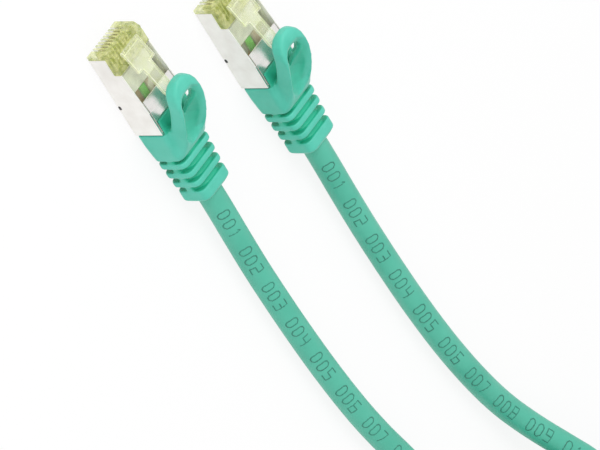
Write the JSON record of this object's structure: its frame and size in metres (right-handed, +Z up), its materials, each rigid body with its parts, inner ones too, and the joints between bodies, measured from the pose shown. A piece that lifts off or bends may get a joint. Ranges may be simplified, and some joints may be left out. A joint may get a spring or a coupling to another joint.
{
  "type": "ethernet patch cable",
  "caption": "Round shielded network patch cable with a latching modular plug, ribbed boot and hinged latch guard on each end, its cord wound in a flat coil.",
  "frame": {"origin": "on the table, in the middle of the space taken by the plugs with their boots", "axes": "+X from the plugs' noses towards the cord, +Y across from the first plug to the second, +Z up, on the latch side"},
  "size_m": [0.2242, 0.075, 0.016],
  "materials": {
    "clear_plastic": "clear yellow-green polycarbonate, polished",
    "plated_metal": "bright nickel plate on stamped sheet",
    "gold": "gold plated contact blades",
    "bar_plastic": "moulded white plastic",
    "boot_plastic": "satin teal-green soft moulding",
    "jacket": "satin teal-green extruded jacket",
    "braid": "tinned wire braid",
    "orange_insulation": "extruded insulation",
    "green_insulation": "extruded insulation",
    "blue_insulation": "extruded insulation",
    "brown_insulation": "extruded insulation"
  },
  "bodies": {
    "cable": {"housing_a": "clear_plastic", "shield_a": "plated_metal", "contact_1_a": "gold", "contact_2_a": "gold", "contact_3_a": "gold", "contact_4_a": "gold", "contact_5_a": "gold", "contact_6_a": "gold", "contact_7_a": "gold", "contact_8_a": "gold", "load_bar_a": "bar_plastic", "pair_orange_a": "orange_insulation", "pair_green_a": "green_insulation", "pair_blue_a": "blue_insulation", "pair_brown_a": "brown_insulation", "jacket_end_a": "jacket", "braid_a": "braid", "crimp_sleeve_a": "plated_metal", "boot_a": "boot_plastic", "housing_b": "clear_plastic", "shield_b": "plated_metal", "contact_1_b": "gold", "contact_2_b": "gold", "contact_3_b": "gold", "contact_4_b": "gold", "contact_5_b": "gold", "contact_6_b": "gold", "contact_7_b": "gold", "contact_8_b": "gold", "load_bar_b": "bar_plastic", "pair_orange_b": "orange_insulation", "pair_green_b": "green_insulation", "pair_blue_b": "blue_insulation", "pair_brown_b": "brown_insulation", "jacket_end_b": "jacket", "braid_b": "braid", "crimp_sleeve_b": "plated_metal", "boot_b": "boot_plastic", "cord_a": "jacket", "cord_coil": "jacket", "cord_b": "jacket"},
    "latch_a": {"latch_a": "clear_plastic"},
    "latch_guard_a": {"latch_guard_a": "boot_plastic"},
    "latch_b": {"latch_b": "clear_plastic"},
    "latch_guard_b": {"latch_guard_b": "boot_plastic"}
  },
  "joints": [
    {"name": "guard_press_a", "type": "hinge", "parent": "cable", "child": "latch_guard_a", "pos_m": [-0.00325, -0.0157, 0.0109], "axis": [0, -1, 0], "range_deg": [0, 13], "stiffness_Nm_per_rad": 0.02},
    {"name": "latch_press_a", "type": "hinge", "parent": "cable", "child": "latch_a", "pos_m": [-0.02695, -0.0157, 0.00735], "axis": [0, 1, 0], "range_deg": [0, 9.75]},
    {"name": "guard_press_b", "type": "hinge", "parent": "cable", "child": "latch_guard_b", "pos_m": [0.01135, 0.0157, 0.0109], "axis": [0, -1, 0], "range_deg": [0, 13], "stiffness_Nm_per_rad": 0.02},
    {"name": "latch_press_b", "type": "hinge", "parent": "cable", "child": "latch_b", "pos_m": [-0.01235, 0.0157, 0.00735], "axis": [0, 1, 0], "range_deg": [0, 9.75]}
  ],
  "couplings": [
    {"joint": "latch_press_a", "follows": "guard_press_a", "ratio": 0.75},
    {"joint": "latch_press_b", "follows": "guard_press_b", "ratio": 0.75}
  ]
}
